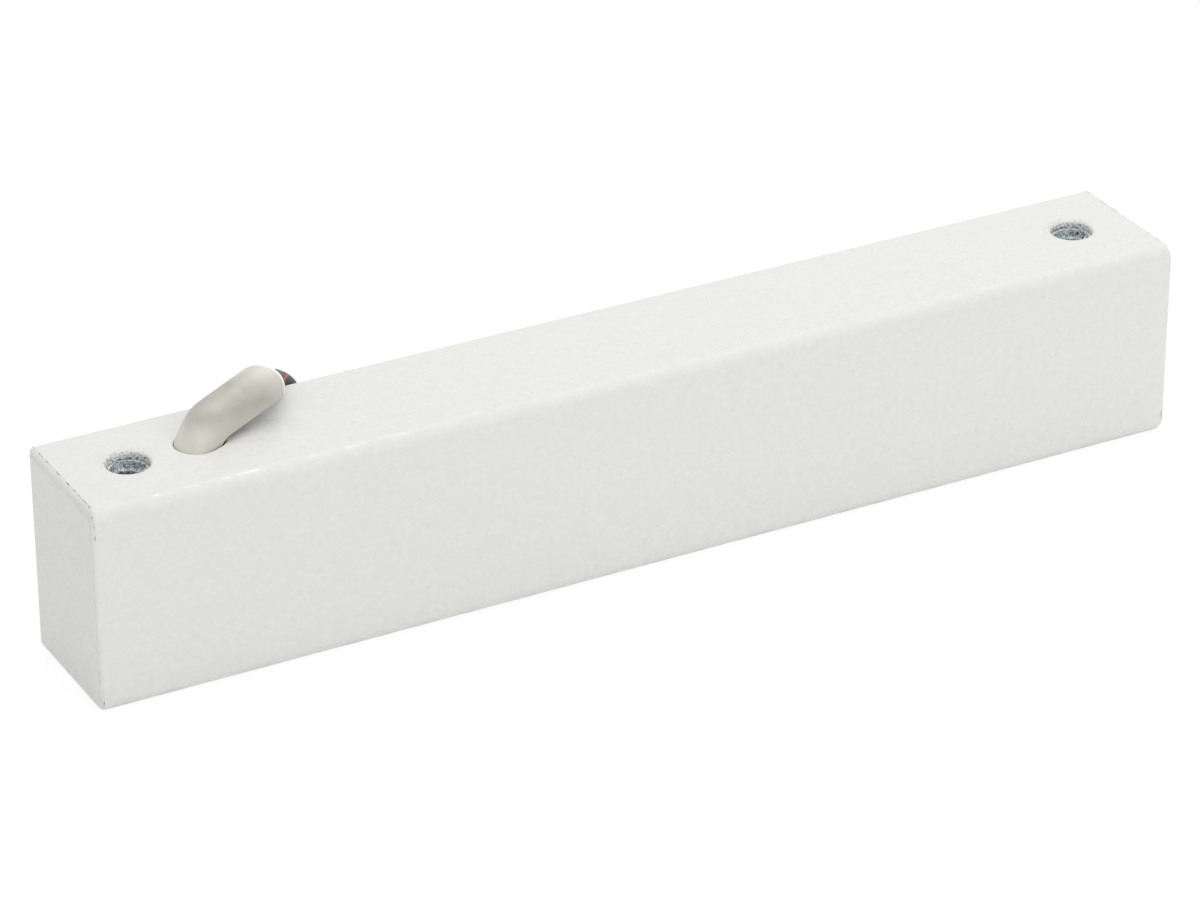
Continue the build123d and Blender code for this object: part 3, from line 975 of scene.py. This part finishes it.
def dentHood(hood, s, plan):
    # The nose is pinched where it dips into its slot, and has a shallow dent above it
    across = Vector((0, 0, 1)).cross(plan["forward"])
    for along, side, up, push, size in s["dents"]:
        spot = plan["root"] + (plan["forward"] * along + across * side + Vector((0, 0, up))) * mm
        nearest = min(hood.data.vertices, key=lambda v: (v.co - spot).length).index
        selectWhere(hood, "VERT", lambda v: v.index == nearest)
        bpy.ops.transform.translate(
            value=Vector((plan["forward"] * push[0] + across * push[1] + Vector((0, 0, push[2]))) * mm),
            use_proportional_edit=True, use_proportional_connected=True, proportional_edit_falloff="SMOOTH",
            proportional_size=size * mm,
        )
        bpy.ops.object.mode_set(mode="OBJECT")


def paintHoodSheen(material, point, direction, s):
    # Painted sheen, lighter at the nose and towards the mouth, and a painted highlight along the mouth's
    # sheared edge
    tree = material.node_tree
    shader = tree.nodes["Principled BSDF"]
    place = addNode(tree, "TexCoord").outputs["Object"]
    offset = addNode(tree, "VectorMath", {0: place, 1: point}, operation="SUBTRACT")
    depth = addNode(tree, "VectorMath", {0: offset, 1: direction}, operation="DOT_PRODUCT")
    # painted sheen towards the mouth, and below at the nose
    mouth = addNode(tree, "MapRange", {
        "Value": depth.outputs["Value"], "From Min": -s["sheenMouth"] * mm, "From Max": 0.0,
    }, interpolation_type="SMOOTHSTEP")
    height = addNode(tree, "SeparateXYZ", {0: place})
    nose = addNode(tree, "MapRange", {
        "Value": height.outputs["Z"], "From Min": s["sheenNose"][0] * mm,
        "From Max": s["sheenNose"][1] * mm,
    }, interpolation_type="SMOOTHSTEP")
    sheen = addNode(tree, "Math", {0: mouth, 1: nose}, operation="MAXIMUM")
    # painted highlight along the mouth's sheared edge
    edge = addNode(tree, "MapRange", {
        "Value": depth.outputs["Value"], "From Min": -s["highlightWidth"] * mm,
        "From Max": -s["highlightFull"] * s["highlightWidth"] * mm,
    })
    plain = shader.inputs["Base Color"].links[0].from_socket
    addColours(tree, shader, plain, [
        (sheen, hexToLinear(s["sheen"])),
        (edge, hexToLinear(s["edgeHighlight"])),
    ])


def makeHood(s, metal):
    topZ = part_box("case_channel")[1].z
    plan = hoodPlan(s, topZ)
    forward = plan["forward"]
    base = plan["root"] - Vector((0, 0, s["rootDepth"] * mm))
    deselectAll()
    bpy.ops.mesh.primitive_circle_add(
        vertices=s["archPoints"], radius=s["halfWidth"] * mm, location=base,
        rotation=(0, 0, math.radians(s["heading"])),
    )
    hood = bpy.context.object
    hood.name = "cable_hood_sheet"
    applyPlace(hood)
    selectWhere(hood, "VERT", lambda v: (v.co - base).dot(forward) > touching)
    bpy.ops.mesh.delete(type="VERT")
    bpy.ops.object.mode_set(mode="OBJECT")
    selectWhere(hood, "VERT", lambda v: near((v.co - base).dot(forward), 0, touching))
    bpy.ops.mesh.extrude_vertices_move(TRANSFORM_OT_translate={"value": forward * s["leg"] * mm})
    bpy.ops.mesh.select_mode(type="EDGE")
    bpy.ops.mesh.select_all(action="SELECT")
    rootLength = plan["bendStart"].z - base.z
    bpy.ops.mesh.extrude_edges_move(TRANSFORM_OT_translate={"value": (0, 0, rootLength)})
    bpy.ops.mesh.spin(
        steps=s["bendSteps"], angle=plan["turn"], center=plan["bendStart"] + forward * s["bendRadius"] * mm,
        axis=forward.cross(Vector((0, 0, 1))),
    )
    step = (plan["straight"] + s["halfWidth"] * mm) / s["mouthSteps"]
    for _ in range(s["mouthSteps"]):
        bpy.ops.mesh.extrude_edges_move(TRANSFORM_OT_translate={"value": plan["out"] * step})
    bpy.ops.mesh.select_all(action="SELECT")
    cut = Matrix.Rotation(math.radians(s["skew"]), 3, "Z") @ forward
    bpy.ops.mesh.bisect(plane_co=plan["mouth"], plane_no=cut, clear_outer=True, use_fill=False)
    bpy.ops.object.mode_set(mode="OBJECT")
    cleanMesh(hood)

    def isMouthCorner(vert):
        return near((vert.co - plan["mouth"]).dot(cut), 0) and len(vert.link_edges) == 2

    selectWhere(hood, "VERT", isMouthCorner)
    bpy.ops.mesh.bevel(offset=s["cornerRadius"] * mm, segments=s["cornerSegments"], affect="VERTICES")
    bpy.ops.object.mode_set(mode="OBJECT")
    dentHood(hood, s, plan)
    print("hood sheet has", len(hood.data.vertices), "points before its wall")
    outside = plan["root"] - forward * s["halfWidth"] * mm
    crown = min(hood.data.polygons, key=lambda p: (p.center - outside).length)
    inward = -1 if crown.normal.dot(forward) < 0 else 1
    applyModifier(hood, "SOLIDIFY", thickness=s["wall"] * mm, offset=inward, use_even_offset=True)
    cleanMesh(hood)
    sharp = math.radians(s["rimAngle"])
    bevelEdges(
        hood, lambda e: len(e.link_faces) == 2 and e.calc_face_angle(0) > sharp,
        s["rimRadius"], s["rimSegments"],
    )
    smoothByAngle(hood, s["smoothAngle"])
    paintHoodSheen(metal, plan["mouth"], cut, s)
    return finishPiece(hood, metal, "nickel_plated_steel", "cable_hood")


# Weld nuts with their M6 threads

nutSettings = {
    "acrossFlats": 11.0,
    "height": 5.0,
    "collar": 0.75,
    "collarRadius": 3.5,
    "roundPoints": 64,
    "boreTool": 20.0,
    "majorRadius": 3.0,
    "minorRadius": 2.5,
    "pitch": 1.0,
    "rootHalf": 0.44,  # half the ridge's width at its root and at its crest, in pitches
    "crestHalf": 0.07,
    "rootSink": 0.06,
    "firstTurn": 0.9,  # how far above the nut's underside the ridge starts, in pitches
    "turnSteps": 48,
    "smoothAngle": 40.0,  # degrees
}


def makeThreadRidge(s, turns):
    # One ridge of the thread, swept along its helix
    deselectAll()
    bpy.ops.mesh.primitive_plane_add(size=1, location=(0, 0, 0))
    ridge = bpy.context.object
    ridge.name = "ridgeTool"
    half, tip = s["rootHalf"] * s["pitch"] * mm, s["crestHalf"] * s["pitch"] * mm
    deep, crest = (s["majorRadius"] + s["rootSink"]) * mm, s["minorRadius"] * mm
    outline = [(deep, 0, -half), (crest, 0, -tip), (crest, 0, tip), (deep, 0, half)]
    for index, corner in zip(ridge.data.polygons[0].vertices, outline):
        ridge.data.vertices[index].co = corner
    deleteFaces(ridge, lambda f: True, "ONLY_FACE")
    applyModifier(
        ridge, "SCREW", axis="Z", angle=2 * math.pi, screw_offset=s["pitch"] * mm, iterations=turns,
        steps=s["turnSteps"], render_steps=s["turnSteps"],
    )
    cleanMesh(ridge, outward=False)
    selectWhere(ridge, "EDGE", lambda e: e.is_boundary)
    bpy.ops.mesh.edge_face_add()
    bpy.ops.mesh.select_all(action="SELECT")
    bpy.ops.mesh.normals_make_consistent(inside=False)
    bpy.ops.object.mode_set(mode="OBJECT")
    return ridge


def makeNut(node, name, s, metal):
    low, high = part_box(node)
    middle = (low + high) / 2
    seatZ = high.z - s["collar"] * mm
    flats = s["acrossFlats"] / 2 / math.cos(math.pi / 6) * mm
    hexPlace = (middle.x, middle.y, seatZ - s["height"] / 2 * mm)
    nut = addCylinder(name, hexPlace, flats, s["height"] * mm, 6, math.pi / 6)
    collarPlace = (middle.x, middle.y, seatZ)
    collarDepth = 2 * s["collar"] * mm
    collar = addCylinder("collarTool", collarPlace, s["collarRadius"] * mm, collarDepth, s["roundPoints"])
    combine(nut, collar, "UNION")
    bore = addCylinder("boreTool", middle, s["majorRadius"] * mm, s["boreTool"] * mm, s["roundPoints"])
    combine(nut, bore, "DIFFERENCE")
    cleanMesh(nut)

    turns = int((high.z - low.z) / (s["pitch"] * mm)) - 1
    ridge = makeThreadRidge(s, turns)
    ridge.location = (middle.x, middle.y, low.z + s["firstTurn"] * s["pitch"] * mm)
    applyPlace(ridge)
    joinPieces(nut, ridge)
    smoothByAngle(nut, s["smoothAngle"])
    return finishPiece(nut, metal, "zinc_plated_steel", node)


# Cable: out of the hood, over the back edge, down behind the lock and into a tied hank

cableSettings = {
    "diameter": 3.2,
    "length": 0.375,  # metres
    "route": [
        (-61.7, 6.9, 40.2),
        (-59.8, 8.1, 39.8),
        (-58.1, 10.4, 38.3),
        (-56.6, 14.0, 37.2),
        (-52.0, 17.0, 33.2),
        (-50.2, 18.6, 26.0),
        (-47.2, 20.0, 18.5),
        (-42.6, 21.0, 10.5),
        (-35.6, 21.8, 5.0),
        (-26.9, 21.0, 2.3),
        (-18.6, 19.6, 2.25),
    ],
    "hankX": 16.0,
    "hankY": 28.5,
    "hankRun": 56.0,
    "hankFold": 9.6,
    "layerZ": (2.25, 5.45),
    "runPoints": 4,
    "foldStep": 30.0,  # degrees, as the end's turn and dip
    "endPastMiddle": 4.0,
    "endClear": 6.0,  # the last run stops this far before the end turns away
    "endTurn": 20.0,
    "endDip": 8.5,
    "endSink": 0.05,
    "endSteps": (0.6, 5.61, 10.2),  # points on the end's straight line
    "curveOrder": 3,
    "curveSteps": 12,
    "roundSteps": 8,
}


def hankPoints(s):
    # Front run, right fold, back run, left fold; the second turn lies on the first
    halfRun = s["hankRun"] / 2
    outside = s["hankFold"] / math.cos(math.radians(s["foldStep"] / 2))
    steps = int(180 / s["foldStep"])
    lowZ, highZ = s["layerZ"]
    points = []

    def addRun(sign, z, stop=None):
        for i in range(1, s["runPoints"] + 1):
            x = s["hankX"] + sign * (-halfRun + s["hankRun"] * (i - 0.5) / s["runPoints"])
            if stop is None or sign * (x - stop) < 0:
                points.append((x, s["hankY"] - sign * s["hankFold"], z))

    def addFold(sign, startZ, endZ):
        for i in range(steps):
            share = (i + 0.5) / steps
            angle = math.radians(-90 + 180 * share)
            points.append((
                s["hankX"] + sign * (halfRun + outside * math.cos(angle)),
                s["hankY"] + sign * outside * math.sin(angle),
                startZ + (endZ - startZ) * share,
            ))

    addRun(1, lowZ)
    addFold(1, lowZ, lowZ)
    addRun(-1, lowZ)
    addFold(-1, lowZ, highZ)
    addRun(1, highZ)
    addFold(1, highZ, highZ)
    leave = s["hankX"] - s["endPastMiddle"]
    addRun(-1, highZ, leave + s["endClear"])
    turn, dip = math.radians(s["endTurn"]), math.radians(s["endDip"])
    along = Vector((-math.cos(turn), -math.sin(turn), -math.tan(dip))).normalized()
    start = Vector((leave, s["hankY"] + s["hankFold"], highZ - s["endSink"]))
    points += [tuple(start + along * step) for step in s["endSteps"]]
    return points


def makeCable(s, sheath):
    points = s["route"] + hankPoints(s)
    curve = bpy.data.curves.new("supply_cable_line", "CURVE")
    curve.dimensions = "3D"
    spline = curve.splines.new("NURBS")
    spline.points.add(len(points) - 1)
    for point, place in zip(spline.points, points):
        point.co = (*[v * mm for v in place], 1.0)
    spline.order_u = s["curveOrder"]
    spline.use_endpoint_u = True
    spline.resolution_u = s["curveSteps"]
    curve.bevel_depth = s["diameter"] / 2 * mm
    curve.bevel_resolution = s["roundSteps"]
    curve.use_fill_caps = True
    cable = bpy.data.objects.new("supply_cable_run", curve)
    bpy.context.scene.collection.objects.link(cable)
    finishPiece(cable, sheath, "cable_sheath", "supply_cable", "cable_hank", "cable_end")
    return cable


# Nylon ties round the hank

tieSettings = {
    "width": 2.4,
    "band": 0.6,
    "corner": 1.3,
    "cornerSegments": 6,
    "head": 3.6,
    "headHeight": 2.6,
    "headSink": 0.1,
    "headEdge": 0.5,
    "headSegments": 3,
}


def makeHankTies(s, cable, nylon):
    half = cable["diameter"] / 2
    tall = 2 * cable["diameter"]
    ties = []
    for side in (-1, 1):
        y = cable["hankY"] + side * cable["hankFold"]
        x = cable["hankX"]
        low = Vector((x - s["width"] / 2, y - half, s["band"])) * mm
        high = Vector((x + s["width"] / 2, y + half, s["band"] + tall)) * mm
        band = addBox("tieBand", low, high)
        bevelEdges(
            band,
            lambda e: near(e.verts[0].co.y, e.verts[1].co.y) and near(e.verts[0].co.z, e.verts[1].co.z),
            s["corner"], s["cornerSegments"],
        )
        deleteFaces(band, lambda f: abs(f.normal.x) > facing)
        applyModifier(band, "SOLIDIFY", thickness=s["band"] * mm, offset=1, use_even_offset=True)
        top = s["band"] + tall + s["band"]
        head = addBox(
            "tieHead",
            Vector((x - s["head"] / 2, y - s["head"] / 2, top - s["headSink"])) * mm,
            Vector((x + s["head"] / 2, y + s["head"] / 2, top + s["headHeight"])) * mm,
        )
        bevelEdges(head, lambda e: True, s["headEdge"], s["headSegments"])
        ties += [band, head]
    joinPieces(*ties)
    ties[0].name = "hank_cable_ties"
    smoothByAngle(ties[0])
    return finishPiece(ties[0], nylon, "moulded_nylon", "hank_bands")


def dressNode(name, material):
    piece = nodes[name]
    piece.data.materials.clear()
    piece.data.materials.append(material)


# Build

makeCamera(cameraSettings)
makeStudio(studioSettings)
paint = makePowderCoat(powderSettings, fixingHole)
metals = {name: makeMetal(name, cloudSettings) for name in metalSettings}
plastics = {name: makePlastic(name) for name in plasticSettings}
threadZinc = makeThreadZinc(threadSettings)
sheath = makeSheath(sheathSettings, cableSettings["diameter"])
insulation = makeCoreInsulation(coreSettings)
print("mixed", len(metals), "metals,", len(plastics), "plastics, the paint and the cable's finishes")

body = makeCaseBody(caseSettings)
case = makeCase(caseSettings, fixingHole, body, hoodSettings, paint)
for side, end in ((-1, "left"), (1, "right")):
    makeEndPlate("end_plate_" + end, "end_plate_" + end + "_painted", side, body, paint)
    makeNut("weld_nut_" + end, "weld_nut_" + end + "_threaded", nutSettings, threadZinc)
bpy.data.objects.remove(body)
print("case with", len(case.data.polygons), "faces")
hood = makeHood(hoodSettings, metals["nickelSheet"])
print("hood with", len(hood.data.polygons), "faces")

cable = makeCable(cableSettings, sheath)
ties = makeHankTies(tieSettings, cableSettings, plastics["naturalNylon"])
print("cable placed")

laminations = makeLaminations(laminationSettings)
finishes = {
    "magnet_core": laminations,
    "core_tie_rods": metals["rivetSteel"],
    "coil_former": plastics["naturalNylon"],
    "coil_winding": makeWinding(windingSettings),
    "winding_tape": plastics["polyesterTape"],
    "coil_leads": insulation,
    "cable_cores": insulation,
    "cable_tails": insulation,
    "lead_sleeves": plastics["shrinkSleeve"],
    "suppressor_diode": plastics["diodeEpoxy"],
    "strain_tie": plastics["naturalNylon"],
    "potting_resin": plastics["pottingEpoxy"],
    "cable_inner": sheath,
    "tinned_tips": metals["tinnedCopper"],
}
for name, material in finishes.items():
    dressNode(name, material)
print("dressed", len(finishes), "solids")

deselectAll()
